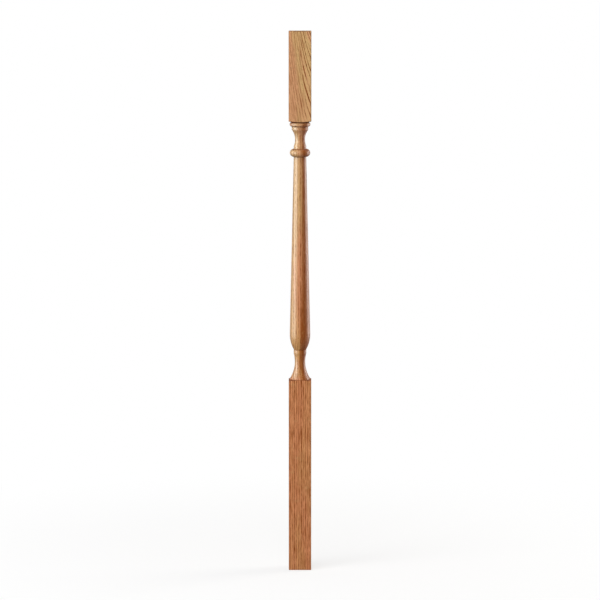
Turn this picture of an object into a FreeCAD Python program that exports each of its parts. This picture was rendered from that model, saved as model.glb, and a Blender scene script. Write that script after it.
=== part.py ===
import FreeCAD, Part
import math
import os

import Sketcher

# Stair baluster: one stick of oak, left square at both ends and turned between them.
# It stands on the centre of its bottom end, +Z up, and every size is in millimetres.

# Sizes of the stick, and then of each turned member from the bottom block up to the top block
SIZES = {
    "blank_width": 44.45,
    "arris_radius": 1.6,
    "bottom_block_length": 381.0,
    "shoulder_angle": 12.0,
    "foot_diameter": 41.6,
    "foot_cove_height": 50.8,
    "foot_cove_radius": 62.0,
    "collar_diameter": 24.9,
    "collar_height": 7.4,
    "quirk_depth": 0.5,
    "vase_diameter": 40.4,
    "vase_height": 32.0,
    "taper_length": 349.95,
    "neck_diameter": 24.6,
    "ring_height": 15.6,
    "neck_height": 5.5,
    "neck_cove_height": 31.75,
    "neck_cove_radius": 32.0,
    "lip_diameter": 32.3,
    "lip_height": 6.4,
    "bead_height": 8.6,
    "top_block_length": 177.8,
}

# The members that stack up to the stick's whole length
STACK = (
    "bottom_block_length",
    "foot_cove_height",
    "collar_height",
    "vase_height",
    "taper_length",
    "ring_height",
    "neck_height",
    "neck_cove_height",
    "lip_height",
    "bead_height",
    "top_block_length",
)

# Points of a sketch's pieces, by the numbers that its rules use, and the sketch's own origin
START, END, CENTRE = 1, 2, 3
ORIGIN = -1


def fill_sheet(sheet):
    """Put each size in a cell of its own, under its own name."""
    for row, (name, value) in enumerate(SIZES.items(), start=1):
        sheet.set(f"A{row}", name)
        sheet.set(f"B{row}", str(value))
        sheet.setAlias(f"B{row}", name)


def origin_plane(body, role):
    """Give the body's own plane of that role."""
    return next(plane for plane in body.Origin.OriginFeatures if plane.Role == role)


def new_sketch(body, name, role):
    """Start a sketch on one of the body's own planes."""
    sketch = body.newObject("Sketcher::SketchObject", name)
    sketch.AttachmentSupport = [(origin_plane(body, role), "")]
    sketch.MapMode = "FlatFace"
    return sketch


def bind(sketch, name, expression, *constraint):
    """Add a named dimension to the sketch and tie it to the sheet."""
    index = sketch.addConstraint(Sketcher.Constraint(*constraint))
    sketch.renameConstraint(index, name)
    sketch.setExpression(f"Constraints.{name}", expression)


class Outline:
    """A chain of lines and arcs in a sketch, each starting where the last one ended."""

    def __init__(self, sketch, start):
        self.sketch = sketch
        self.here = start
        self.tail = None

    def _add(self, geometry, first, last, joint="Coincident"):
        """Add one piece and join its first end to the chain."""
        index = self.sketch.addGeometry(geometry, False)
        if self.tail is not None:
            self.sketch.addConstraint(Sketcher.Constraint(joint, *self.tail, index, first))
        self.tail = (index, last)
        return index

    def line(self, radius, height, joint="Coincident"):
        """Draw a straight piece to a point at this radius and height."""
        there = FreeCAD.Vector(radius, height, 0)
        index = self._add(Part.LineSegment(self.here, there), START, END, joint)
        self.here = there
        return index

    def arc(self, radius, height, centre):
        """Draw an arc up to a point: a cove if its centre lies outside the wood, or else a bead."""
        there = FreeCAD.Vector(radius, height, 0)
        ends = [math.atan2(end.y - centre.y, end.x - centre.x) for end in (self.here, there)]
        cove = centre.x > max(self.here.x, there.x)
        if cove:
            ends = [angle % (2 * math.pi) for angle in reversed(ends)]
        circle = Part.Circle(centre, FreeCAD.Vector(0, 0, 1), (there - centre).Length)
        first, last = (END, START) if cove else (START, END)
        index = self._add(Part.ArcOfCircle(circle, *ends), first, last)
        self.here = there
        return index

    def close(self, first):
        """Join the chain's end to the start of its first piece."""
        self.sketch.addConstraint(Sketcher.Constraint("Coincident", *self.tail, first, START))


def cove_centre(lower, upper, radius):
    """Find the centre, outside the wood, of an arc of this radius through two points."""
    chord = upper - lower
    reach = math.sqrt(radius**2 - (chord.Length / 2) ** 2)
    outward = FreeCAD.Vector(chord.y, -chord.x, 0).normalize()
    return (lower + upper) * 0.5 + outward * reach


def vase_centre(lower, upper, taper_top):
    """Find the centre of the arc through two points that runs on smoothly into the taper."""
    taper = taper_top - upper
    outward = FreeCAD.Vector(taper.y, -taper.x, 0).normalize()
    drop = lower - upper
    radius = drop.dot(drop) / (-2 * drop.dot(outward))
    return upper - outward * radius


def draw_blank(sketch):
    """Draw the stick's square section about its centre line."""
    half = SIZES["blank_width"] / 2
    corners = [FreeCAD.Vector(x * half, y * half, 0) for x, y in ((-1, -1), (1, -1), (1, 1), (-1, 1))]
    for side in range(4):
        sketch.addGeometry(Part.LineSegment(corners[side], corners[(side + 1) % 4]), False)
    for side in range(4):
        sketch.addConstraint(Sketcher.Constraint("Coincident", side, END, (side + 1) % 4, START))
        sketch.addConstraint(Sketcher.Constraint("Vertical" if side % 2 else "Horizontal", side))
    sketch.addConstraint(Sketcher.Constraint("Symmetric", 0, START, 1, END, ORIGIN, START))
    width = SIZES["blank_width"]
    bind(sketch, "width", "sizes.blank_width", "DistanceX", 0, START, 0, END, width)
    bind(sketch, "depth", "sizes.blank_width", "DistanceY", 1, START, 1, END, width)


def draw_turning(sketch):
    """Draw what the lathe takes off: radius across, height up, closed outside the stick's corners."""
    heights = {}
    level = 0.0
    for member in STACK:
        level += SIZES[member]
        heights[member] = level
    foot = FreeCAD.Vector(SIZES["foot_diameter"] / 2, heights["bottom_block_length"], 0)
    collar = FreeCAD.Vector(SIZES["collar_diameter"] / 2, heights["foot_cove_height"], 0)
    vase_low = FreeCAD.Vector(collar.x - SIZES["quirk_depth"], heights["collar_height"], 0)
    vase_top = FreeCAD.Vector(SIZES["vase_diameter"] / 2, heights["vase_height"], 0)
    neck = FreeCAD.Vector(SIZES["neck_diameter"] / 2, heights["taper_length"], 0)
    cove_low = FreeCAD.Vector(neck.x, heights["neck_height"], 0)
    lip = FreeCAD.Vector(SIZES["lip_diameter"] / 2, heights["neck_cove_height"], 0)
    clear = SIZES["blank_width"]
    slope = math.tan(math.radians(SIZES["shoulder_angle"]))
    shoulder_low = foot.y - (clear - foot.x) * slope
    shoulder_high = heights["bead_height"] + (clear - lip.x) * slope

    # The chain starts outside the bottom block's corners and climbs to the top block
    chain = Outline(sketch, FreeCAD.Vector(clear, shoulder_low, 0))
    bottom_shoulder = chain.line(foot.x, foot.y)
    foot_cove = chain.arc(collar.x, collar.y, cove_centre(foot, collar, SIZES["foot_cove_radius"]))
    collar_side = chain.line(collar.x, vase_low.y)
    quirk = chain.line(vase_low.x, vase_low.y)
    vase = chain.arc(vase_top.x, vase_top.y, vase_centre(vase_low, vase_top, neck))
    taper = chain.line(neck.x, neck.y, joint="Tangent")
    ring_middle = FreeCAD.Vector(neck.x, neck.y + SIZES["ring_height"] / 2, 0)
    ring = chain.arc(neck.x, heights["ring_height"], ring_middle)
    neck_side = chain.line(neck.x, cove_low.y)
    neck_cove = chain.arc(lip.x, lip.y, cove_centre(cove_low, lip, SIZES["neck_cove_radius"]))
    lip_side = chain.line(lip.x, heights["lip_height"])
    bead_middle = FreeCAD.Vector(lip.x, heights["lip_height"] + SIZES["bead_height"] / 2, 0)
    bead = chain.arc(lip.x, heights["bead_height"], bead_middle)
    top_shoulder = chain.line(clear, shoulder_high)
    outside = chain.line(clear, shoulder_low)
    chain.close(bottom_shoulder)

    # Upright sides, the quirk's level step and the half-round beads
    for side in (collar_side, neck_side, lip_side, outside):
        sketch.addConstraint(Sketcher.Constraint("Vertical", side))
    sketch.addConstraint(Sketcher.Constraint("Horizontal", quirk))
    for half_round in (ring, bead):
        sketch.addConstraint(Sketcher.Constraint("Vertical", half_round, START, half_round, CENTRE))
        sketch.addConstraint(Sketcher.Constraint("Vertical", half_round, CENTRE, half_round, END))

    # Radii, measured from the centre line
    for name, expression, piece, end, radius in (
        ("foot", "sizes.foot_diameter / 2", bottom_shoulder, END, foot.x),
        ("collar", "sizes.collar_diameter / 2", collar_side, START, collar.x),
        ("vase_low", "sizes.collar_diameter / 2 - sizes.quirk_depth", quirk, END, vase_low.x),
        ("vase_top", "sizes.vase_diameter / 2", taper, START, vase_top.x),
        ("neck", "sizes.neck_diameter / 2", taper, END, neck.x),
        ("lip", "sizes.lip_diameter / 2", lip_side, START, lip.x),
        ("outside", "sizes.blank_width", outside, START, clear),
    ):
        bind(sketch, f"{name}_from_axis", expression, "DistanceX", ORIGIN, START, piece, end, radius)

    # Heights, each measured from the end of the member below it
    bind(
        sketch, "bottom_block_length", "sizes.bottom_block_length",
        "DistanceY", ORIGIN, START, bottom_shoulder, END, foot.y,
    )
    for name, low_piece, low_end, high_piece, high_end in (
        ("foot_cove_height", foot_cove, END, foot_cove, START),
        ("collar_height", collar_side, START, collar_side, END),
        ("vase_height", vase, START, taper, START),
        ("taper_length", taper, START, taper, END),
        ("ring_height", ring, START, ring, END),
        ("neck_height", neck_side, START, neck_side, END),
        ("neck_cove_height", neck_cove, END, neck_cove, START),
        ("lip_height", lip_side, START, lip_side, END),
        ("bead_height", bead, START, bead, END),
    ):
        bind(
            sketch, name, f"sizes.{name}",
            "DistanceY", low_piece, low_end, high_piece, high_end, SIZES[name],
        )

    # Sweep of the two coves, and the fall of the two shoulders towards the stick's corners
    bind(sketch, "foot_cove_radius", "sizes.foot_cove_radius", "Radius", foot_cove, SIZES["foot_cove_radius"])
    bind(sketch, "neck_cove_radius", "sizes.neck_cove_radius", "Radius", neck_cove, SIZES["neck_cove_radius"])
    fall = math.radians(SIZES["shoulder_angle"])
    bind(
        sketch, "bottom_shoulder_angle", "180 deg - sizes.shoulder_angle * 1 deg",
        "Angle", bottom_shoulder, math.pi - fall,
    )
    bind(sketch, "top_shoulder_angle", "sizes.shoulder_angle * 1 deg", "Angle", top_shoulder, fall)


def make_baluster(doc):
    """Saw the blank, ease its long edges and turn the part between the two square blocks."""
    body = doc.addObject("PartDesign::Body", "baluster")
    body.Label = "baluster"

    section = new_sketch(body, "blank_section", "XY_Plane")
    draw_blank(section)
    blank = body.newObject("PartDesign::Pad", "blank")
    blank.Profile = section
    blank.setExpression("Length", " + ".join(f"sizes.{member}" for member in STACK))
    doc.recompute()

    # The four long edges are the ones that run from end to end
    length = blank.Shape.BoundBox.ZLength
    long_edges = [
        f"Edge{number}"
        for number, edge in enumerate(blank.Shape.Edges, start=1)
        if math.isclose(edge.BoundBox.ZLength, length, rel_tol=1e-6)
    ]
    eased = body.newObject("PartDesign::Fillet", "eased_arrises")
    eased.Base = (blank, long_edges)
    eased.setExpression("Radius", "sizes.arris_radius")
    doc.recompute()

    profile = new_sketch(body, "turning_profile", "XZ_Plane")
    draw_turning(profile)
    doc.recompute()
    turning = body.newObject("PartDesign::Groove", "turning")
    turning.Profile = profile
    turning.ReferenceAxis = (profile, ["V_Axis"])
    turning.Angle = 360.0
    body.Tip = turning
    doc.recompute()
    if turning.Shape.Volume >= eased.Shape.Volume:
        raise RuntimeError("the lathe took nothing off the blank")
    return body


def check_document(doc, body):
    """Stop if anything failed or the finished body isn't one sound solid."""
    for item in doc.Objects:
        if {"Invalid", "Error"} & set(item.State):
            raise RuntimeError(f"{item.Label} failed: {item.State}")
    if body.Shape.isNull() or not body.Shape.isValid():
        raise RuntimeError(f"{body.Label} has no valid shape")
    if len(body.Shape.Solids) != 1:
        raise RuntimeError(f"{body.Label} isn't one solid")


def main():
    doc = FreeCAD.newDocument("stair_baluster")
    fill_sheet(doc.addObject("Spreadsheet::Sheet", "sizes"))
    doc.recompute()
    body = make_baluster(doc)
    check_document(doc, body)
    os.makedirs("parts", exist_ok=True)
    body.Shape.exportStep(f"parts/{body.Label}.step")
    box = body.Shape.optimalBoundingBox(False)
    extents = " x ".join(f"{length:.2f}" for length in (box.XLength, box.YLength, box.ZLength))
    print(f"{body.Label}: {body.Shape.Volume:.0f} mm3, {extents} mm")


if __name__ == "__main__":
    main()
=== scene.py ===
"""Dress the stair baluster: the turned oak stick, its figure and finish, and the studio that shows it."""

import logging
import math
from dataclasses import dataclass, field
from enum import Enum
from typing import Iterator, Union

import bmesh
import bpy
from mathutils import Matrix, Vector


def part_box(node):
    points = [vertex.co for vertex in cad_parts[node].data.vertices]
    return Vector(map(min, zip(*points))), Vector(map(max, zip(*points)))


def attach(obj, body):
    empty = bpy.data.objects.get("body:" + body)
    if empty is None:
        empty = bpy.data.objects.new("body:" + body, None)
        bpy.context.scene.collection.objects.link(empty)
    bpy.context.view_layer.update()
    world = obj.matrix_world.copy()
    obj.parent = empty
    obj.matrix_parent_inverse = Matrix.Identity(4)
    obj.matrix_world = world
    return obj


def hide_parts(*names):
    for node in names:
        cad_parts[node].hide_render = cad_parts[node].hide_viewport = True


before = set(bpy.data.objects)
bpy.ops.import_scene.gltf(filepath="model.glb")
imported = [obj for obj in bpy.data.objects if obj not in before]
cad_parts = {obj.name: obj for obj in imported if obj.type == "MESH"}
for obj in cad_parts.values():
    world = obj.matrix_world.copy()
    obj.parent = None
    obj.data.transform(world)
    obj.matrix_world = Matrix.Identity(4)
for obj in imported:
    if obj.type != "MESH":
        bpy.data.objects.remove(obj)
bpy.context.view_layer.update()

LOG = logging.getLogger("baluster")
NODE = "baluster"
BODY = "root"
PIECE = "turned_oak_stick"
MM = 0.001
FRAME_PIXELS = 600
NOISE_MIDDLE = 0.5
ROUND_PROFILE = 0.5

# The standard curve from the levels that a screen shows to the light that they stand for
FULL_LEVEL = 255
CURVE_TOE = 0.04045
CURVE_TOE_SLOPE = 12.92
CURVE_OFFSET = 0.055
CURVE_POWER = 2.4

# Axes of a vector that has been split
X, Y, Z = 0, 1, 2

# Places of the colour sockets in a Mix node
MIX_SHARE, MIX_FIRST, MIX_SECOND, MIX_RESULT = 0, 6, 7, 2

Socket = bpy.types.NodeSocket
Value = Union[float, Socket]
Triple = tuple[float, float, float]
Colour = Union[tuple[float, float, float, float], Socket]


class Sweep(Enum):
    """Which way a turned member bows."""

    COVE = -1.0
    BEAD = 1.0


class Cut(Enum):
    """Which surface of the stick a finish lies on, by its place in the material list."""

    PLANED = 0
    SAWN_END = 1


class Reach(Enum):
    """What a lamp gives the stick, as whether it lights it and whether it shows in its gloss."""

    BOTH = (True, True)
    FILL = (True, False)
    SHEEN = (False, True)


@dataclass(frozen=True)
class Point:
    """A point of the turned outline, as a radius and a height in metres."""

    radius: float
    height: float

    def towards(self, other: "Point", share: float) -> "Point":
        """Give the point that lies this share of the way to another."""
        return Point(
            self.radius + (other.radius - self.radius) * share,
            self.height + (other.height - self.height) * share,
        )


@dataclass(frozen=True)
class Ring:
    """One loop of the stick's skin: square in the blocks, round in the turning, or between the two.

    The loop lies level at its radius, and rises by its slope for each metre outside that radius.
    """

    radius: float
    height: float
    roundness: float = 1.0
    slope: float = 0.0


@dataclass(frozen=True)
class Ease:
    """A smooth change from a first amount to a last one, between a start and a stop."""

    start: Value
    stop: Value
    first: Value = 0.0
    last: Value = 1.0


@dataclass(frozen=True)
class Streak:
    """Noise drawn out along the grain, by its cells to a millimetre each way and its finer layers."""

    across: float
    along: float
    detail: float = 1.0


@dataclass
class Turning:
    """The turned middle of the stick, as the members that the lathe leaves from the foot up, in metres."""

    bottom_block: float = 381.0 * MM
    shoulder_slope: float = math.tan(math.radians(12.0))
    foot_radius: float = 20.8 * MM
    foot_cove_height: float = 50.8 * MM
    foot_cove_radius: float = 62.0 * MM
    collar_radius: float = 12.45 * MM
    collar_height: float = 7.4 * MM
    quirk_depth: float = 0.5 * MM
    vase_radius: float = 20.2 * MM
    vase_height: float = 32.0 * MM
    taper_length: float = 349.95 * MM
    neck_radius: float = 12.3 * MM
    ring_height: float = 15.6 * MM
    neck_height: float = 5.5 * MM
    neck_cove_height: float = 31.75 * MM
    neck_cove_radius: float = 32.0 * MM
    lip_radius: float = 16.15 * MM
    lip_height: float = 6.4 * MM
    bead_height: float = 8.6 * MM
    quirk_shade_depth: tuple[float, ...] = (0.6, 0.5, 0.9, 0.3, 0.7, 1.0)
    arc_step: float = 1.1 * MM
    arc_least_steps: int = 4
    straight_step: float = 2.2 * MM
    taper_step: float = 9.0 * MM

    def arc(self, low: Point, high: Point, radius: float, sweep: Sweep) -> Iterator[Point]:
        """Walk up an arc between two points of the outline.

        Args:
            low: Lower end of the arc, which is left out.
            high: Upper end of the arc.
            radius: Radius of the arc.
            sweep: Whether the arc bows into the wood or out of it.

        Returns:
            The points of the arc, a step apart.
        """
        rise = high.height - low.height
        run = high.radius - low.radius
        chord = math.hypot(rise, run)
        reach = math.sqrt(max(radius**2 - (chord / 2) ** 2, 0.0))
        middle = low.towards(high, 0.5)
        centre_radius = middle.radius - sweep.value * reach * rise / chord
        centre_height = middle.height + sweep.value * reach * run / chord
        first, last = (
            math.atan2(point.height - centre_height, sweep.value * (point.radius - centre_radius))
            for point in (low, high)
        )
        count = max(self.arc_least_steps, math.ceil((last - first) * radius / self.arc_step))
        for number in range(1, count + 1):
            angle = first + (last - first) * number / count
            yield Point(
                centre_radius + sweep.value * radius * math.cos(angle),
                centre_height + radius * math.sin(angle),
            )

    def line(self, low: Point, high: Point, step: float) -> Iterator[Point]:
        """Walk up a straight member in even steps.

        Args:
            low: Lower end of the member, which is left out.
            high: Upper end of the member.
            step: Greatest height of a step.

        Returns:
            The points of the member.
        """
        count = max(1, math.ceil((high.height - low.height) / step))
        for number in range(1, count + 1):
            yield low.towards(high, number / count)

    def vase_arc_radius(self, low: Point, high: Point, neck: Point) -> float:
        """Find the radius of the vase's arc, which runs on smoothly into the taper.

        Args:
            low: Lower end of the vase.
            high: Where the vase meets the taper.
            neck: Upper end of the taper.

        Returns:
            The radius of the arc.
        """
        taper = Vector((neck.radius - high.radius, neck.height - high.height))
        outward = Vector((taper.y, -taper.x)).normalized()
        drop = Vector((low.radius - high.radius, low.height - high.height))
        return drop.length_squared / (-2 * drop.dot(outward))

    def quirks(self) -> list[tuple[float, float]]:
        """List the sharp hollows between the members, from the foot up.

        Returns:
            The height of each hollow, and how much painted shade it gets.
        """
        collar_top = self.bottom_block + self.foot_cove_height + self.collar_height
        neck = collar_top + self.vase_height + self.taper_length
        ring_top = neck + self.ring_height
        lip_top = ring_top + self.neck_height + self.neck_cove_height + self.lip_height
        heights = (self.bottom_block, collar_top, neck, ring_top, lip_top, lip_top + self.bead_height)
        return list(zip(heights, self.quirk_shade_depth))

    def outline(self) -> list[Point]:
        """Draw the outline of the turning.

        Returns:
            Its points from the foot to the underside of the top block.
        """
        foot = Point(self.foot_radius, self.bottom_block)
        collar = Point(self.collar_radius, foot.height + self.foot_cove_height)
        collar_top = Point(self.collar_radius, collar.height + self.collar_height)
        vase_low = Point(self.collar_radius - self.quirk_depth, collar_top.height)
        vase_top = Point(self.vase_radius, vase_low.height + self.vase_height)
        neck = Point(self.neck_radius, vase_top.height + self.taper_length)
        ring_top = Point(self.neck_radius, neck.height + self.ring_height)
        cove_low = Point(self.neck_radius, ring_top.height + self.neck_height)
        lip = Point(self.lip_radius, cove_low.height + self.neck_cove_height)
        lip_top = Point(self.lip_radius, lip.height + self.lip_height)
        bead_top = Point(self.lip_radius, lip_top.height + self.bead_height)
        vase_arc = self.vase_arc_radius(vase_low, vase_top, neck)
        return [
            foot,
            *self.arc(foot, collar, self.foot_cove_radius, Sweep.COVE),
            *self.line(collar, collar_top, self.straight_step),
            vase_low,
            *self.arc(vase_low, vase_top, vase_arc, Sweep.BEAD),
            *self.line(vase_top, neck, self.taper_step),
            *self.arc(neck, ring_top, self.ring_height / 2, Sweep.BEAD),
            *self.line(ring_top, cove_low, self.straight_step),
            *self.arc(cove_low, lip, self.neck_cove_radius, Sweep.COVE),
            *self.line(lip, lip_top, self.straight_step),
            *self.arc(lip_top, bead_top, self.bead_height / 2, Sweep.BEAD),
        ]


class Wiring:
    """Short ways to place shader nodes in one tree and join them up."""

    def __init__(self, tree: bpy.types.NodeTree) -> None:
        """Start on a tree of nodes."""
        self.tree = tree

    def node(self, kind: str, **settings: object) -> bpy.types.Node:
        """Place a node.

        Args:
            kind: Blender's name for the kind of node.
            settings: The node's options, by name.

        Returns:
            The node.
        """
        placed = self.tree.nodes.new(kind)
        for name, setting in settings.items():
            setattr(placed, name, setting)
        return placed

    def feed(self, socket: Socket, value: object) -> None:
        """Join a socket to another one, or write a plain value in it.

        Args:
            socket: Socket to feed.
            value: The other socket, or the plain value.
        """
        if isinstance(value, bpy.types.NodeSocket):
            self.tree.links.new(value, socket)
        else:
            socket.default_value = value

    def fill(self, placed: bpy.types.Node, *values: object) -> Socket:
        """Feed a node's inputs in order.

        Args:
            placed: The node.
            values: What its first inputs take.

        Returns:
            The node's first output.
        """
        for socket, value in zip(placed.inputs, values):
            self.feed(socket, value)
        return placed.outputs[0]

    def math(self, operation: str, *values: Value) -> Socket:
        """Do one piece of arithmetic on up to three values."""
        return self.fill(self.node("ShaderNodeMath", operation=operation), *values)

    def times(self, first: Value, *others: Value) -> Socket:
        """Multiply values together.

        Args:
            first: First value.
            others: The values that multiply it.

        Returns:
            Their product.
        """
        product = first
        for value in others:
            product = self.math("MULTIPLY", product, value)
        return product

    def add(self, base: Value, *terms: tuple[Value, Value]) -> Socket:
        """Add weighted terms to a base.

        Args:
            base: What the terms are added to.
            terms: Pairs of a value and its weight.

        Returns:
            The whole.
        """
        whole = base
        for value, weight in terms:
            whole = self.math("MULTIPLY_ADD", value, weight, whole)
        return whole

    def ease(self, value: Value, over: Ease) -> Socket:
        """Ease a value from one range into another, and stop at its ends."""
        placed = self.node("ShaderNodeMapRange", interpolation_type="SMOOTHSTEP")
        return self.fill(placed, value, over.start, over.stop, over.first, over.last)

    def join(self, x: Value, y: Value, z: Value) -> Socket:
        """Make a vector of three values."""
        return self.fill(self.node("ShaderNodeCombineXYZ"), x, y, z)

    def split(self, vector: Socket) -> tuple[Socket, Socket, Socket]:
        """Take a vector apart.

        Args:
            vector: The vector.

        Returns:
            Its three values.
        """
        placed = self.node("ShaderNodeSeparateXYZ")
        self.feed(placed.inputs[0], vector)
        return tuple(placed.outputs)

    def stretch(self, vector: Socket, by: Triple) -> Socket:
        """Stretch a vector along each axis."""
        return self.fill(self.node("ShaderNodeVectorMath", operation="MULTIPLY"), vector, by)

    def distance(self, vector: Socket) -> Socket:
        """Measure how far a vector reaches.

        Args:
            vector: The vector.

        Returns:
            Its length.
        """
        placed = self.node("ShaderNodeVectorMath", operation="LENGTH")
        self.feed(placed.inputs[0], vector)
        return placed.outputs["Value"]

    def facing(self, axis: int) -> Socket:
        """Measure how squarely the surface faces along an axis, from 0 to 1."""
        normal = self.node("ShaderNodeNewGeometry").outputs["Normal"]
        return self.math("ABSOLUTE", self.split(normal)[axis])

    def noise(self, place: Socket, detail: float) -> Socket:
        """Give smooth noise.

        Args:
            place: Where, in cells.
            detail: Finer layers of the noise.

        Returns:
            A value from 0 to 1.
        """
        placed = self.node("ShaderNodeTexNoise", noise_dimensions="3D")
        for name, value in (("Vector", place), ("Scale", 1.0), ("Detail", detail)):
            self.feed(placed.inputs[name], value)
        return placed.outputs["Fac"]

    def nearest(self, place: Socket) -> Socket:
        """Scatter one point in each cell.

        Args:
            place: Where, in cells.

        Returns:
            The distance to the nearest point.
        """
        placed = self.node("ShaderNodeTexVoronoi", voronoi_dimensions="3D", feature="F1")
        self.feed(placed.inputs["Vector"], place)
        self.feed(placed.inputs["Scale"], 1.0)
        return placed.outputs["Distance"]

    def blend(self, share: Value, first: Colour, second: Colour) -> Socket:
        """Mix two colours.

        Args:
            share: How much of the second colour there is.
            first: First colour.
            second: Second colour.

        Returns:
            The mixed colour.
        """
        placed = self.node("ShaderNodeMix", data_type="RGBA")
        for index, value in ((MIX_SHARE, share), (MIX_FIRST, first), (MIX_SECOND, second)):
            self.feed(placed.inputs[index], value)
        return placed.outputs[MIX_RESULT]


def linear(hexadecimal: str) -> tuple[float, float, float, float]:
    """Turn a colour as screens show it into the light that it stands for, by the standard curve.

    Args:
        hexadecimal: Six digits, two each for red, green and blue.

    Returns:
        Red, green, blue and a full alpha.
    """
    parts = []
    for start in (0, 2, 4):
        shown = int(hexadecimal[start : start + 2], 16) / FULL_LEVEL
        if shown <= CURVE_TOE:
            parts.append(shown / CURVE_TOE_SLOPE)
        else:
            parts.append(((shown + CURVE_OFFSET) / (1 + CURVE_OFFSET)) ** CURVE_POWER)
    return (*parts, 1.0)


def grey(level: float) -> tuple[float, float, float, float]:
    """Give a plain grey of this level."""
    return (level, level, level, 1.0)


@dataclass(frozen=True)
class GrainPlace:
    """Where a point lies in the wood, in millimetres, with its count of years and two masks.

    The head is what lies above the neck, and the turned length is what the lathe burnished.
    """

    x: Socket
    y: Socket
    z: Socket
    radial: Socket
    years: Socket
    head: Socket
    turned: Socket


@dataclass(frozen=True)
class OakFigure:
    """How the tree grew: the rings about its pith, the vessels, the rays and the drift of its colour, with
    painted shade on the turning's sides, the blocks' edges and the quirks.

    Lengths are in millimetres. The pith stands to the right of the stick, so rings run straight up it.
    Above the neck the pith comes forward, so rings slant over the right of the head.
    """

    half_width: float
    length: float
    quirks: tuple[tuple[float, float], ...]

    # Pith, and the slow wander that keeps lines from running dead straight
    pith_x: float = 60.0
    pith_y: float = -5.0
    head_pith_x: float = 36.0
    head_pith_depth: float = 54.0
    head_lean: float = 6.5
    head_crowding: float = 1.35
    neck: float = 870.0
    neck_blend: float = 20.0
    wander: float = 1.6
    wander_cells: Triple = (0.02, 0.02, 0.008)
    wander_detail: float = 2.0

    # Rings, and how boldly they show on each part of the stick
    rings_by_root: float = 3.83
    head_ring: float = 3.2
    head_start: float = 9.4
    uneven_cells: float = 0.14
    uneven_slice: float = 3.7
    uneven_detail: float = 1.0
    uneven_years: float = 1.2
    early_rise: Ease = Ease(0.0, 0.1)
    early_fade: float = 0.3
    early_end: float = 0.6
    head_early: float = -0.05
    faint_year: float = 0.46
    year_spread: float = 0.42
    block_bold: float = 0.8
    turned_bold: float = -0.35
    head_bold: Ease = Ease(-8.0, 12.0, 0.35, 1.7)
    side_bold: float = -0.5

    # Streaks, from the finest to the drift from yellow to red
    fine: Streak = Streak(0.9, 0.08, 2.0)
    short: Streak = Streak(0.45, 0.035)
    slanted: Streak = Streak(0.4, 0.022)
    long: Streak = Streak(0.26, 0.02)
    broad: Streak = Streak(0.09, 0.004)
    ruddy: Streak = Streak(0.055, 0.006)

    # Tone, as a level and the weight of what is added to it
    tone_level: float = 0.8
    broad_weight: float = 0.2
    long_weight: float = 0.4
    fine_weight: float = 0.8
    slanted_weight: float = 0.9
    short_weight: float = -1.25
    turned_short: float = 0.75
    head_short: float = 0.55
    block_dim: float = -0.1
    head_bright: float = 0.04
    lip_bright: float = 0.16
    head_side: Ease = Ease(1.0, 13.0)
    head_side_bright: float = 0.18
    band_breaks: Ease = Ease(-0.2, 0.22, 0.1, 1.5)
    band_weight: float = -0.68

    # Painted shade: dark on the right of the turning, fading to the back, and dimming over the highlight on
    # its left towards the foot
    dark_edge: Ease = Ease(1.0, 8.0)
    dark_lean: Ease = Ease(430.0, 600.0, 4.0, 0.0)
    dark_lean_rise: Ease = Ease(392.0, 408.0)
    dark_back: Ease = Ease(-8.0, 8.0, 1.0, 0.3)
    dark_low: Ease = Ease(430.0, 650.0, -0.74, -0.6)
    dark_high: Ease = Ease(700.0, 830.0, 0.0, -0.15)
    light_dim: Ease = Ease(430.0, 700.0, -0.1, 0.0)
    foot_rise: Ease = Ease(384.0, 394.0)
    foot_fall: Ease = Ease(400.0, 430.0, 1.0, 0.0)
    foot_dim: float = -0.16

    # Warmth, with the painted hue of the turning's lit and shaded sides
    above_block: Ease = Ease(379.0, 393.0)
    turned_shade_red: float = 0.02
    head_red: float = -0.006
    block_red: float = 0.62
    red_reach: float = 0.16

    # Vessels, rays and what they leave in the surface
    vessel_width: float = 0.5
    vessel_length: float = 8.0
    vessel_size: float = 0.1
    early_vessel: float = 0.34
    vessel_rim: Ease = Ease(-0.06, 0.06)
    vessel_relief: float = -0.75
    fine_relief: float = 0.2
    ray_spacing: float = 2.2
    ray_height: float = 18.0
    ray_cells: float = 0.03
    ray_rim: Ease = Ease(0.1, 0.24, 1.0, 0.0)

    # End grain, the painted shade of eased edges and quirks, and the two ends of the turning
    end_range: Ease = Ease(0.7, 0.98)
    arris_start: float = 1.8
    arris_stop: float = 0.5
    rim_start: float = 1.6
    rim_stop: float = 0.2
    rim_share: float = 0.3
    quirk_core: float = 0.2
    quirk_reach: float = 1.5
    turned_edge: float = 1.0

    def build(self) -> bpy.types.NodeTree:
        """Build the figure as a group of shader nodes that reads the stick's own coordinates.

        Returns:
            The group, which puts out masks and values that change over the wood.
        """
        tree = bpy.data.node_groups.new("oak_figure", "ShaderNodeTree")
        wire = Wiring(tree)
        out = wire.node("NodeGroupOutput")
        place = self.place(wire)
        early, band = self.rings(wire, place)
        vessel = self.vessels(wire, place, early)
        fine = self.streak(wire, place, self.fine)
        for name, value in (
            ("Tone", self.tone(wire, place, band, fine)),
            ("Warmth", self.warmth(wire, place)),
            ("Vessel", vessel),
            ("Ray", self.rays(wire, place)),
            ("End grain", wire.ease(wire.facing(Z), self.end_range)),
            ("Edge", self.edges(wire, place)),
            ("Quirk", self.quirk_shade_mask(wire, place)),
            ("Burnish", place.turned),
            ("Relief", wire.add(1.0, (vessel, self.vessel_relief), (fine, self.fine_relief))),
            ("Height", wire.math("DIVIDE", place.z, self.length)),
        ):
            tree.interface.new_socket(name, in_out="OUTPUT", socket_type="NodeSocketFloat")
            wire.feed(out.inputs[name], value)
        return tree

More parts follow.
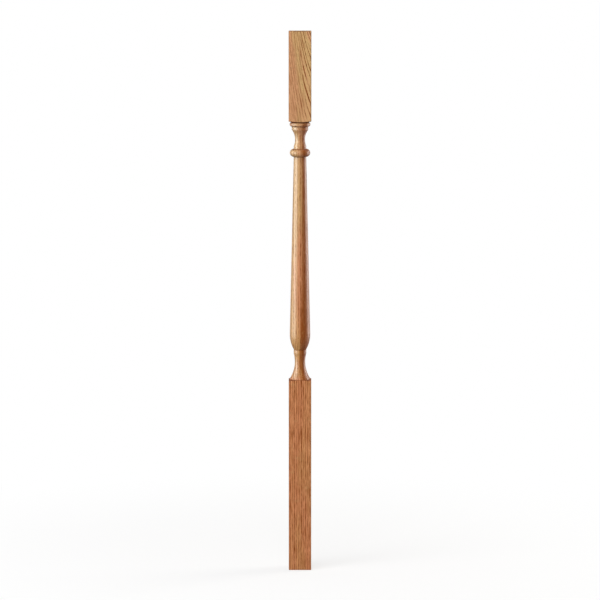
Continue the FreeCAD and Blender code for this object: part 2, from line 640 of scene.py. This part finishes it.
    def place(self, wire: Wiring) -> GrainPlace:
        """Find a point's place in the wood.

        Args:
            wire: Tree to work in.

        Returns:
            The point's own coordinates, its distance from the pith, its year and its masks.
        """
        point = wire.node("ShaderNodeTexCoord").outputs["Object"]
        point = wire.stretch(point, (1 / MM, 1 / MM, 1 / MM))
        x, y, z = wire.split(point)
        slow = wire.noise(wire.stretch(point, self.wander_cells), self.wander_detail)
        near = wire.math("ADD", x, wire.add(-self.wander, (slow, 2 * self.wander)))
        body = self.from_pith(wire, near, y, self.pith_x, self.pith_y)
        above = wire.math("MAXIMUM", wire.math("SUBTRACT", z, self.neck), 0.0)
        depth = wire.add(self.head_pith_depth**2, (above, -2 * self.head_lean))
        forward = wire.math("SUBTRACT", wire.math("SQRT", depth), self.half_width)
        top = self.from_pith(wire, near, y, self.head_pith_x, forward)
        head = wire.ease(z, Ease(self.neck, self.neck + self.neck_blend))
        crowded = wire.times(top, self.head_crowding)
        radial = wire.add(body, (wire.math("SUBTRACT", crowded, body), head))
        years = wire.times(wire.math("SQRT", body), self.rings_by_root)
        late = wire.add(self.head_start, (top, 1 / self.head_ring))
        years = wire.add(years, (wire.math("SUBTRACT", late, years), head))
        return GrainPlace(x, y, z, radial, years, head, self.turned(wire, z))

    def from_pith(self, wire: Wiring, x: Socket, y: Socket, pith_x: float, pith_y: Value) -> Socket:
        """Measure the distance from an upright pith."""
        across = wire.join(wire.math("SUBTRACT", x, pith_x), wire.math("SUBTRACT", y, pith_y), 0.0)
        return wire.distance(across)

    def turned(self, wire: Wiring, height: Socket) -> Socket:
        """Mark the members that the lathe turned and burnished, from the foot to the bead.

        Args:
            wire: Tree to work in.
            height: Height up the stick.

        Returns:
            A mask of the turned length.
        """
        low, high = self.quirks[0][0], self.quirks[-1][0]
        above = wire.ease(height, Ease(low - self.turned_edge, low + self.turned_edge))
        below = wire.ease(height, Ease(high - self.turned_edge, high + self.turned_edge, 1.0, 0.0))
        return wire.times(above, below)

    def tone(self, wire: Wiring, place: GrainPlace, band: Socket, fine: Socket) -> Socket:
        """Set how pale the wood is: streaks, short dashes and dark bands, with painted shade on both sides
        of the turning.

        Args:
            wire: Tree to work in.
            place: Place in the wood.
            band: Dark bands of the rings.
            fine: Finest streaks.

        Returns:
            A value from about 0, dark, to 1, pale.
        """
        short = self.streak(wire, place, self.short)
        long = self.streak(wire, place, self.long)
        slanted = wire.times(self.streak(wire, place, self.slanted), place.head)
        dashed = wire.add(
            self.short_weight, (place.turned, self.turned_short), (place.head, self.head_short)
        )
        broken = wire.times(band, wire.ease(wire.math("ADD", short, long), self.band_breaks))
        bright = wire.add(self.head_bright, (place.turned, self.lip_bright))
        plain = wire.math("SUBTRACT", 1.0, wire.math("MAXIMUM", place.turned, place.head))
        return wire.add(
            self.painted_side_shade(wire, place, self.tone_level),
            (self.streak(wire, place, self.broad), self.broad_weight),
            (long, self.long_weight),
            (wire.times(wire.ease(place.x, self.head_side), place.head), self.head_side_bright),
            (place.head, bright),
            (plain, self.block_dim),
            (short, dashed),
            (slanted, self.slanted_weight),
            (fine, self.fine_weight),
            (broken, self.band_weight),
        )

    def painted_side_shade(self, wire: Wiring, place: GrainPlace, level: float) -> Socket:
        """Paint shade on the right of the turning, and paint shade over the highlight on its left towards
        the foot.

        Args:
            wire: Tree to work in.
            place: Place in the wood.
            level: Tone to start from.

        Returns:
            The tone with the painted shade on both sides worked in.
        """
        lean = wire.times(wire.ease(place.z, self.dark_lean), wire.ease(place.z, self.dark_lean_rise))
        edge = wire.ease(wire.math("ADD", place.x, lean), self.dark_edge)
        dark = wire.times(edge, place.turned, wire.ease(place.y, self.dark_back))
        deep = wire.math("ADD", wire.ease(place.z, self.dark_low), wire.ease(place.z, self.dark_high))
        foot = wire.times(wire.ease(place.z, self.foot_rise), wire.ease(place.z, self.foot_fall))
        calm = wire.add(wire.ease(place.z, self.light_dim), (foot, self.foot_dim))
        light = wire.math("SUBTRACT", place.turned, dark)
        return wire.add(level, (dark, deep), (light, calm))

    def warmth(self, wire: Wiring, place: GrainPlace) -> Socket:
        """Set how red the wood is: the bottom block and the left of the head, with a painted shift from a
        yellow lit left to a red shaded right across the turning.

        Args:
            wire: Tree to work in.
            place: Place in the wood.

        Returns:
            A value from 0, yellow, to 1, red.
        """
        above = wire.ease(place.z, self.above_block)
        lathe = wire.times(above, wire.math("SUBTRACT", 1.0, place.head))
        # Across the turning, red on the right is the painted hue of its shaded side and yellow on the left
        # that of its lit side
        lean = wire.add(wire.times(place.head, self.head_red), (lathe, self.turned_shade_red))
        drift = wire.add(self.streak(wire, place, self.ruddy), (place.x, lean))
        least = wire.add(self.block_red, (above, -self.block_red))
        return wire.ease(drift, Ease(-self.red_reach, self.red_reach, least, 1.0))

    def rings(self, wire: Wiring, place: GrainPlace) -> tuple[Socket, Socket]:
        """Grow rings of uneven width, each with a porous early band and a smooth late one.

        Args:
            wire: Tree to work in.
            place: Place in the wood.

        Returns:
            The early band, and the same band as strong as its year left it.
        """
        uneven = wire.join(wire.times(place.radial, self.uneven_cells), 0.0, self.uneven_slice)
        count = wire.add(place.years, (wire.noise(uneven, self.uneven_detail), self.uneven_years))
        phase = wire.math("FRACT", count)
        fade = wire.add(self.early_fade, (place.head, self.head_early))
        ended = wire.add(self.early_end, (place.head, self.head_early))
        early = wire.times(wire.ease(phase, self.early_rise), wire.ease(phase, Ease(fade, ended, 1.0, 0.0)))
        year = wire.node("ShaderNodeTexWhiteNoise", noise_dimensions="1D")
        wire.feed(year.inputs["W"], wire.math("FLOOR", count))
        strength = wire.add(self.faint_year, (year.outputs["Value"], self.year_spread))

        # The planed head has a bold right side, and whatever faces left or right is calmer
        calm = wire.add(self.block_bold, (place.turned, self.turned_bold))
        square = wire.math("MAXIMUM", wire.math("SUBTRACT", place.head, place.turned), 0.0)
        bold = wire.math("SUBTRACT", wire.ease(place.x, self.head_bold), calm)
        bold = wire.add(calm, (bold, square))
        side = wire.add(1.0, (wire.facing(X), self.side_bold))
        return early, wire.times(early, strength, bold, side)

    def vessels(self, wire: Wiring, place: GrainPlace, early: Socket) -> Socket:
        """Bore the vessels, long thin hollows that crowd the early band.

        Args:
            wire: Tree to work in.
            place: Place in the wood.
            early: Early band of the rings.

        Returns:
            A mask of the vessels that the surface cuts open.
        """
        cell = wire.join(
            wire.math("DIVIDE", place.radial, self.vessel_width),
            wire.math("DIVIDE", place.y, self.vessel_width),
            wire.math("DIVIDE", place.z, self.vessel_length),
        )
        size = wire.add(self.vessel_size, (early, self.early_vessel))
        return wire.ease(wire.math("SUBTRACT", size, wire.nearest(cell)), self.vessel_rim)

    def rays(self, wire: Wiring, place: GrainPlace) -> Socket:
        """Set the rays, thin upright sheets that run out from the pith.

        Args:
            wire: Tree to work in.
            place: Place in the wood.

        Returns:
            A mask of the rays.
        """
        cell = wire.join(
            wire.math("DIVIDE", place.y, self.ray_spacing),
            wire.times(place.radial, self.ray_cells),
            wire.math("DIVIDE", place.z, self.ray_height),
        )
        return wire.ease(wire.nearest(cell), self.ray_rim)

    def streak(self, wire: Wiring, place: GrainPlace, kind: Streak) -> Socket:
        """Draw noise out along the grain.

        Args:
            wire: Tree to work in.
            place: Place in the wood.
            kind: How fine the noise is, and how long.

        Returns:
            A value about 0.
        """
        drawn = wire.join(
            wire.times(place.radial, kind.across),
            wire.times(place.y, kind.across),
            wire.times(place.z, kind.along),
        )
        return wire.math("SUBTRACT", wire.noise(drawn, kind.detail), NOISE_MIDDLE)

    def edges(self, wire: Wiring, place: GrainPlace) -> Socket:
        """Mark the eased edges of the blocks and the rims of both ends, which get painted shade.

        Args:
            wire: Tree to work in.
            place: Place in the wood.

        Returns:
            A mask of the four long edges and of the rims of both ends.
        """
        face, end = self.half_width, self.length / 2
        sides = wire.math("MINIMUM", wire.math("ABSOLUTE", place.x), wire.math("ABSOLUTE", place.y))
        arris = wire.ease(sides, Ease(face - self.arris_start, face - self.arris_stop))
        middle = wire.math("ABSOLUTE", wire.math("SUBTRACT", place.z, end))
        rim = wire.ease(middle, Ease(end - self.rim_start, end - self.rim_stop, 0.0, self.rim_share))
        return wire.math("MAXIMUM", arris, rim)

    def quirk_shade_mask(self, wire: Wiring, place: GrainPlace) -> Socket:
        """Mark the quirks between the turned members, where shade is painted.

        Args:
            wire: Tree to work in.
            place: Place in the wood.

        Returns:
            A mask of the quirks, as strong as the painted shade of each.
        """
        marked: Value = 0.0
        for height, shade_depth in self.quirks:
            away = wire.math("ABSOLUTE", wire.math("SUBTRACT", place.z, height))
            quirk_dark = wire.ease(away, Ease(self.quirk_core, self.quirk_reach, shade_depth, 0.0))
            marked = wire.math("MAXIMUM", marked, quirk_dark)
        return marked


@dataclass(frozen=True)
class OakFinish:
    """Clear satin lacquer on oak, or the bare sawn end of the stick."""

    name: str
    low_dark: str = "81400d"
    low_red: str = "cd885d"
    low_yellow: str = "c79a5e"
    high_dark: str = "7a3c0f"
    high_red: str = "c18e65"
    high_yellow: str = "bd9865"
    turned_dark: str = "8a450d"
    vessel_colour: str = "562e0e"
    end_colour: str = "84482a"
    climb: Ease = Ease(0.36, 0.86)
    ray_share: float = 0.2
    end_share: float = 0.75
    vessel_share: float = 0.55
    edge_shade_share: float = 0.4
    quirk_shade_share: float = 0.6
    smooth: float = 0.5
    rough: float = 0.68
    coat: float = 1.0
    planed_gloss: float = 0.35
    coat_roughness: float = 0.38
    coat_index: float = 1.5
    sheen: float = 0.12
    relief_depth: float = 0.1 * MM
    relief_strength: float = 0.6

    def build(self, figure: bpy.types.NodeTree) -> bpy.types.Material:
        """Build the finish over the wood's figure.

        Args:
            figure: Group of nodes that describes how the tree grew.

        Returns:
            The material.
        """
        material = bpy.data.materials.new(self.name)
        material.use_nodes = True
        wire = Wiring(material.node_tree)
        shader = material.node_tree.nodes["Principled BSDF"]
        group = wire.node("ShaderNodeGroup")
        group.node_tree = figure
        grown = group.outputs

        # Open vessels, end grain, the blocks' edges and the quirks keep little lacquer and stay dull
        dull = grown["Vessel"]
        for mask in ("End grain", "Edge", "Quirk"):
            dull = wire.math("MAXIMUM", dull, grown[mask])
        gloss = wire.add(self.coat, (dull, -self.coat))
        planed = wire.ease(grown["Burnish"], Ease(0.0, 1.0, self.planed_gloss, 1.0))
        bump = wire.node("ShaderNodeBump")
        for name, value in (
            ("Distance", self.relief_depth),
            ("Strength", self.relief_strength),
            ("Height", grown["Relief"]),
        ):
            wire.feed(bump.inputs[name], value)
        for name, value in (
            ("Base Color", self.colour(wire, grown)),
            ("Roughness", wire.ease(dull, Ease(0.0, 1.0, self.smooth, self.rough))),
            ("Coat Weight", wire.times(gloss, planed)),
            ("Coat Roughness", self.coat_roughness),
            ("Coat IOR", self.coat_index),
            ("Specular IOR Level", self.sheen),
            ("Normal", bump.outputs["Normal"]),
        ):
            wire.feed(shader.inputs[name], value)
        return material

    def colour(self, wire: Wiring, grown: bpy.types.NodeOutputs) -> Socket:
        """Mix the wood's colour: redder at the foot, yellower at the head, darker where the figure says.

        Args:
            wire: Tree to work in.
            grown: Outputs of the figure.

        Returns:
            The colour.
        """
        low = wire.blend(grown["Warmth"], linear(self.low_yellow), linear(self.low_red))
        high = wire.blend(grown["Warmth"], linear(self.high_yellow), linear(self.high_red))
        climb = wire.ease(grown["Height"], self.climb)
        pale = wire.blend(climb, low, high)
        dark = wire.blend(climb, linear(self.low_dark), linear(self.high_dark))
        # On the turning this dark end also colours the painted shade of its right side
        dark = wire.blend(grown["Burnish"], dark, linear(self.turned_dark))
        colour = wire.blend(grown["Tone"], dark, pale)
        for mask, share, tint in (
            ("Ray", self.ray_share, self.high_yellow),
            ("End grain", self.end_share, self.end_colour),
            ("Vessel", self.vessel_share, self.vessel_colour),
            # painted shade along the blocks' edges and the rims of the ends
            ("Edge", self.edge_shade_share, self.vessel_colour),
            # painted shade in the quirks between the members
            ("Quirk", self.quirk_shade_share, self.vessel_colour),
        ):
            colour = wire.blend(wire.times(grown[mask], share), colour, linear(tint))
        return colour


@dataclass
class Baluster:
    """The stick itself: square blocks with eased edges, and the turning between them."""

    width: float
    length: float
    turning: Turning = field(default_factory=Turning)
    arris_radius: float = 1.6 * MM
    arris_segments: int = 6
    side_cuts: int = 27
    block_step: float = 24.0 * MM
    shoulder_roundness: float = 0.5
    crisp_edge: float = 0.35 * MM
    crisp_segments: int = 3
    edge_margin: float = 1.5 * MM
    sharp_angle: float = math.radians(32.0)
    shaded_angle: float = math.radians(42.0)

    def rings(self) -> list[Ring]:
        """List the loops of the skin.

        Returns:
            The loops from the bottom end to the top end.
        """
        outline = self.turning.outline()
        slope = self.turning.shoulder_slope
        foot, head = outline[0], outline[-1]
        reach = self.width / 2
        low_top = foot.height - (reach * math.sqrt(2) - foot.radius) * slope - self.edge_margin
        high_low = head.height + (reach * math.sqrt(2) - head.radius) * slope + self.edge_margin
        return [
            *(Ring(reach, height, 0.0) for height in self.block_heights(0.0, low_top)),
            Ring(foot.radius, foot.height, 0.0, -slope),
            Ring(foot.radius, foot.height, self.shoulder_roundness, -slope),
            *(Ring(point.radius, point.height) for point in outline),
            Ring(head.radius, head.height, self.shoulder_roundness, slope),
            Ring(head.radius, head.height, 0.0, slope),
            *(Ring(reach, height, 0.0) for height in self.block_heights(high_low, self.length)),
        ]

    def block_heights(self, low: float, high: float) -> list[float]:
        """Space the loops of a square block, with one close to each end of the stick.

        Args:
            low: Lowest height of the block's straight sides.
            high: Highest height of the block's straight sides.

        Returns:
            Heights from low to high.
        """
        count = math.ceil((high - low) / self.block_step)
        heights = {low + (high - low) * number / count for number in range(count + 1)}
        if low == 0.0:
            heights.add(self.edge_margin)
        if high == self.length:
            heights.add(self.length - self.edge_margin)
        return sorted(heights)

    def section(self, mesh: bmesh.types.BMesh) -> list[bmesh.types.BMEdge]:
        """Draw the square section with its corners rounded and its sides divided.

        Args:
            mesh: Mesh to draw it in.

        Returns:
            The edges of the section.
        """
        corner = self.width / 2 * math.sqrt(2)
        made = bmesh.ops.create_circle(mesh, segments=4, radius=corner)
        eighth = math.radians(45.0)
        for vertex in made["verts"]:
            turned = math.atan2(vertex.co.y, vertex.co.x) + eighth
            vertex.co = Vector((corner * math.cos(turned), corner * math.sin(turned), 0.0))
        bmesh.ops.bevel(
            mesh, geom=made["verts"], offset=self.arris_radius, offset_type="OFFSET",
            segments=self.arris_segments, profile=ROUND_PROFILE, affect="VERTICES", material=-1,
        )
        sides = [edge for edge in mesh.edges if edge.calc_length() > self.width / 2]
        bmesh.ops.subdivide_edges(mesh, edges=sides, cuts=self.side_cuts)
        return list(mesh.edges)

    def build(self) -> bpy.types.Object:
        """Raise the stick's skin loop by loop and close its two sawn ends.

        Returns:
            The finished object, with its faces marked as planed or sawn.
        """
        mesh = bmesh.new()
        rim = self.section(mesh)
        square = mesh.verts.layers.float.new("square")
        for vertex in mesh.verts:
            vertex[square] = vertex.co.xy.length
        caps = [bmesh.ops.contextual_create(mesh, geom=rim)["faces"][0]]
        for ring in self.rings()[1:]:
            raised = bmesh.ops.extrude_edge_only(mesh, edges=rim)["geom"]
            rim = [item for item in raised if isinstance(item, bmesh.types.BMEdge)]
            for vertex in (item for item in raised if isinstance(item, bmesh.types.BMVert)):
                across = vertex[square] + (ring.radius - vertex[square]) * ring.roundness
                height = ring.height + ring.slope * (across - ring.radius)
                vertex.co = (vertex.co.xy.normalized() * across).to_3d() + Vector((0.0, 0.0, height))
        caps.append(bmesh.ops.contextual_create(mesh, geom=rim)["faces"][0])
        for cap in caps:
            cap.material_index = Cut.SAWN_END.value
        bmesh.ops.recalc_face_normals(mesh, faces=mesh.faces)
        self.ease_edges(mesh)
        return self.finish_mesh(mesh)

    def ease_edges(self, mesh: bmesh.types.BMesh) -> None:
        """Take the sharpness off every outside edge that the saw and the lathe left.

        Args:
            mesh: The closed skin.
        """
        crisp = [
            edge for edge in mesh.edges
            if edge.is_manifold and edge.is_convex and edge.calc_face_angle() > self.sharp_angle
        ]
        eased = bmesh.ops.bevel(
            mesh, geom=crisp, offset=self.crisp_edge, offset_type="OFFSET", segments=self.crisp_segments,
            profile=ROUND_PROFILE, affect="EDGES", clamp_overlap=True, material=-1,
        )
        for face in eased["faces"]:
            face.material_index = Cut.PLANED.value

    def finish_mesh(self, mesh: bmesh.types.BMesh) -> bpy.types.Object:
        """Turn the worked mesh into a smooth-shaded object.

        Args:
            mesh: The worked mesh, which is freed.

        Returns:
            The object, in the scene.
        """
        data = bpy.data.meshes.new(PIECE)
        mesh.to_mesh(data)
        mesh.free()
        data.polygons.foreach_set("use_smooth", [True] * len(data.polygons))
        data.set_sharp_from_angle(angle=self.shaded_angle)
        piece = bpy.data.objects.new(PIECE, data)
        bpy.context.scene.collection.objects.link(piece)
        return piece

    def dress(self, piece: bpy.types.Object, finishes: dict[Cut, bpy.types.Material]) -> None:
        """Give the stick its finishes and stand it in for the plain solid.

        Args:
            piece: The stick.
            finishes: The finish of each kind of surface.
        """
        for cut in Cut:
            piece.data.materials.append(finishes[cut])
        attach(piece, BODY)
        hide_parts(NODE)


@dataclass(frozen=True)
class Lamp:
    """A soft box that hangs round the stick and faces its middle, in degrees, metres and watts."""

    name: str
    bearing: float
    distance: float
    height: float
    width: float
    tall: float
    power: float
    reach: Reach
    colour: Triple = (1.0, 1.0, 1.0)

    def hang(self, target: Vector) -> None:
        """Hang the lamp.

        Args:
            target: Point that the lamp faces.
        """
        light = bpy.data.lights.new(self.name, "AREA")
        light.shape = "RECTANGLE"
        light.size = self.width
        light.size_y = self.tall
        light.energy = self.power
        light.color = self.colour
        lamp = bpy.data.objects.new(self.name, light)
        lamp.visible_diffuse, lamp.visible_glossy = self.reach.value
        turn = math.radians(self.bearing)
        lamp.location = (self.distance * math.sin(turn), -self.distance * math.cos(turn), self.height)
        lamp.rotation_euler = (target - lamp.location).to_track_quat("-Z", "Y").to_euler()
        bpy.context.scene.collection.objects.link(lamp)


@dataclass
class Studio:
    """A pale floor, a white room, soft lamps and a camera that frames the stick from end to end."""

    length: float
    width: float
    camera_distance: float = 6.0
    camera_height: float = 1.3
    camera_clip: float = 100.0
    frame_fill: float = 538.6 / FRAME_PIXELS
    frame_drop: float = 0.75 / FRAME_PIXELS
    sensor: float = 36.0
    room: Ease = Ease(-0.15, 0.75, 0.05, 0.65)
    floor_radius: float = 1.2
    floor_segments: int = 64
    floor_level: float = 0.25
    floor_seen_level: float = 0.8
    floor_roughness: float = 0.9
    floor_sheen: float = 0.2
    floor_white: Ease = Ease(0.1, 1.08, 0.72, 1.0)
    lamps: tuple[Lamp, ...] = (
        Lamp(
            "soft_key", bearing=-55.0, distance=3.0, height=1.1,
            width=1.6, tall=1.6, power=38.0, reach=Reach.FILL,
        ),
        Lamp(
            "front_panel", bearing=-8.0, distance=4.0, height=1.6,
            width=2.4, tall=1.8, power=100.0, reach=Reach.FILL,
        ),
        Lamp(
            "ceiling", bearing=-48.0, distance=1.8, height=2.8,
            width=1.6, tall=1.6, power=46.0, reach=Reach.FILL,
        ),
        Lamp(
            "left_wall", bearing=-75.0, distance=2.0, height=0.9,
            width=1.8, tall=2.0, power=86.0, reach=Reach.SHEEN, colour=(0.9, 1.0, 0.99),
        ),
        Lamp(
            "rim_panel", bearing=112.0, distance=2.0, height=0.9,
            width=1.0, tall=2.0, power=40.0, reach=Reach.BOTH, colour=(1.0, 0.95, 0.88),
        ),
    )

    def light(self) -> None:
        """Hang the lamps and set the white surroundings, which are brighter behind the stick."""
        for lamp in self.lamps:
            lamp.hang(Vector((0.0, 0.0, self.length / 2)))
        world = bpy.data.worlds.new("white_room")
        world.use_nodes = True
        bpy.context.scene.world = world
        wire = Wiring(world.node_tree)
        sky = world.node_tree.nodes["Background"]
        wire.feed(sky.inputs["Color"], grey(1.0))
        towards = wire.split(wire.node("ShaderNodeTexCoord").outputs["Generated"])[Y]
        seen = wire.node("ShaderNodeLightPath").outputs["Is Camera Ray"]
        wire.feed(sky.inputs["Strength"], wire.math("MAXIMUM", seen, wire.ease(towards, self.room)))

    def lay_floor(self) -> None:
        """Lay the pale floor, which keeps a soft shadow and runs out into the white of the room."""
        mesh = bmesh.new()
        bmesh.ops.create_circle(
            mesh, cap_ends=True, segments=self.floor_segments, radius=self.floor_radius
        )
        data = bpy.data.meshes.new("floor")
        mesh.to_mesh(data)
        mesh.free()
        floor = bpy.data.objects.new("floor", data)
        bpy.context.scene.collection.objects.link(floor)
        data.materials.append(self.floor_finish())

    def floor_finish(self) -> bpy.types.Material:
        """Build the floor's finish.

        Returns:
            The material.
        """
        material = bpy.data.materials.new("pale_floor")
        material.use_nodes = True
        wire = Wiring(material.node_tree)
        shader = material.node_tree.nodes["Principled BSDF"]
        seen = wire.node("ShaderNodeLightPath").outputs["Is Camera Ray"]
        pale = wire.blend(seen, grey(self.floor_level), grey(self.floor_seen_level))
        wire.feed(shader.inputs["Base Color"], pale)
        wire.feed(shader.inputs["Roughness"], self.floor_roughness)
        wire.feed(shader.inputs["Specular IOR Level"], self.floor_sheen)
        away = wire.distance(wire.node("ShaderNodeTexCoord").outputs["Object"])
        white = wire.times(seen, wire.ease(away, self.floor_white))
        glow = wire.node("ShaderNodeEmission").outputs[0]
        mixed = wire.fill(wire.node("ShaderNodeMixShader"), white, shader.outputs[0], glow)
        wire.feed(material.node_tree.nodes["Material Output"].inputs["Surface"], mixed)
        return material

    def place_camera(self) -> None:
        """Stand the camera a little above the stick's head and frame the front face from end to end."""
        near = self.camera_distance - self.width / 2
        ends = [math.atan2(self.camera_height - height, near) for height in (self.length, 0.0)]
        half_view = (ends[1] - ends[0]) / 2
        data = bpy.data.cameras.new("camera")
        data.sensor_width = self.sensor
        data.lens = self.sensor * self.frame_fill / 2 / math.tan(half_view)
        data.clip_end = self.camera_clip
        tilt = sum(ends) / 2 - math.atan(self.frame_drop * self.sensor / data.lens)
        camera = bpy.data.objects.new("camera", data)
        camera.location = (0.0, -self.camera_distance, self.camera_height)
        level = math.radians(90.0)
        camera.rotation_euler = (level - tilt, 0.0, 0.0)
        bpy.context.scene.collection.objects.link(camera)
        bpy.context.scene.camera = camera

    def set_up(self) -> None:
        """Build the whole studio."""
        self.lay_floor()
        self.light()
        self.place_camera()
        bpy.context.scene.view_settings.view_transform = "Standard"


def main() -> None:
    """Build the stick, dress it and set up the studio."""
    logging.basicConfig(level=logging.INFO, format="%(name)s: %(message)s")
    low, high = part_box(NODE)
    stick = Baluster(width=high[X] - low[X], length=high[Z] - low[Z])
    piece = stick.build()
    LOG.info("%s: %d faces", piece.name, len(piece.data.polygons))
    quirks = tuple((height / MM, shade_depth) for height, shade_depth in stick.turning.quirks())
    figure = OakFigure(stick.width / 2 / MM, stick.length / MM, quirks).build()
    satin = OakFinish("satin_oak")
    sawn = OakFinish("sawn_oak_end", smooth=0.6, rough=0.75, coat=0.05, end_share=0.3)
    stick.dress(piece, {Cut.PLANED: satin.build(figure), Cut.SAWN_END: sawn.build(figure)})
    Studio(length=stick.length, width=stick.width).set_up()


if __name__ == "__main__":
    main()
